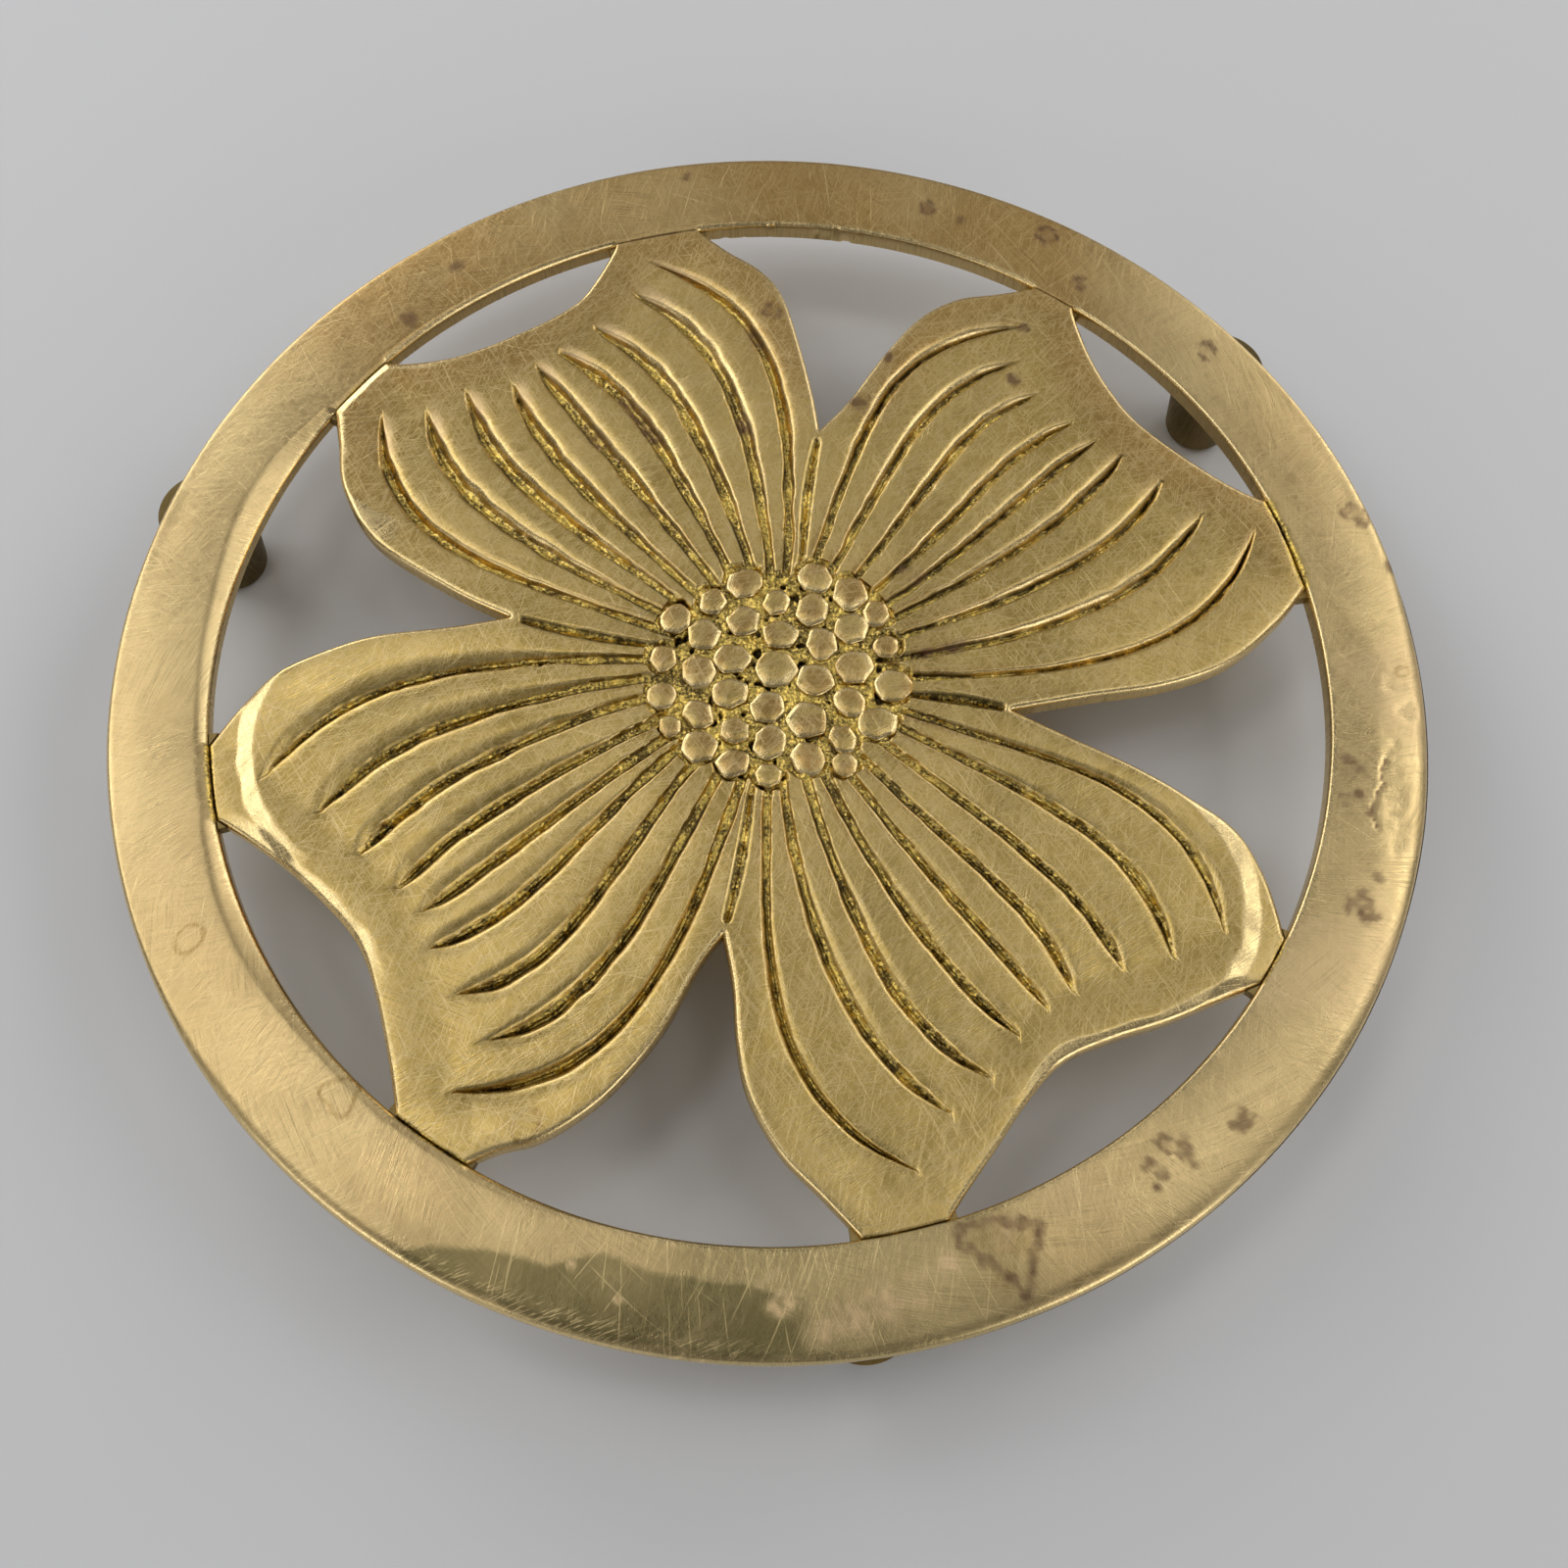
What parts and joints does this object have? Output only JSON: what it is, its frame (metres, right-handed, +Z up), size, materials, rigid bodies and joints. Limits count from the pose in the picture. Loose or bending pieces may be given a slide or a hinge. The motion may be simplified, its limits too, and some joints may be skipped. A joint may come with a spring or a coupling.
{
  "type": "trivet",
  "caption": "Round brass trivet: a flat rim holding an open blossom with grooved, two-lobed petals round a beaded seed head, raised on tapered stub feet.",
  "frame": {"origin": "on the table plane, under the middle of the rim", "axes": "+Z up, +Y towards the back of the trivet as pictured, +X to the right"},
  "size_m": [0.2, 0.2, 0.0204],
  "materials": {
    "rim_brass": "satin, brushed, lightly tarnished",
    "petal_brass": "satin on the high faces, rough cast and darkened in the grooves",
    "foot_brass": "rough cast, dark tarnish"
  },
  "bodies": {
    "root": {"rim": "rim_brass", "petal_back_right": "petal_brass", "petal_back_left": "petal_brass", "petal_front_left": "petal_brass", "petal_front_right": "petal_brass", "seed_head": "petal_brass", "seam_webs": "petal_brass", "foot_left": "foot_brass", "foot_back_right": "foot_brass", "foot_front": "foot_brass"}
  },
  "joints": []
}
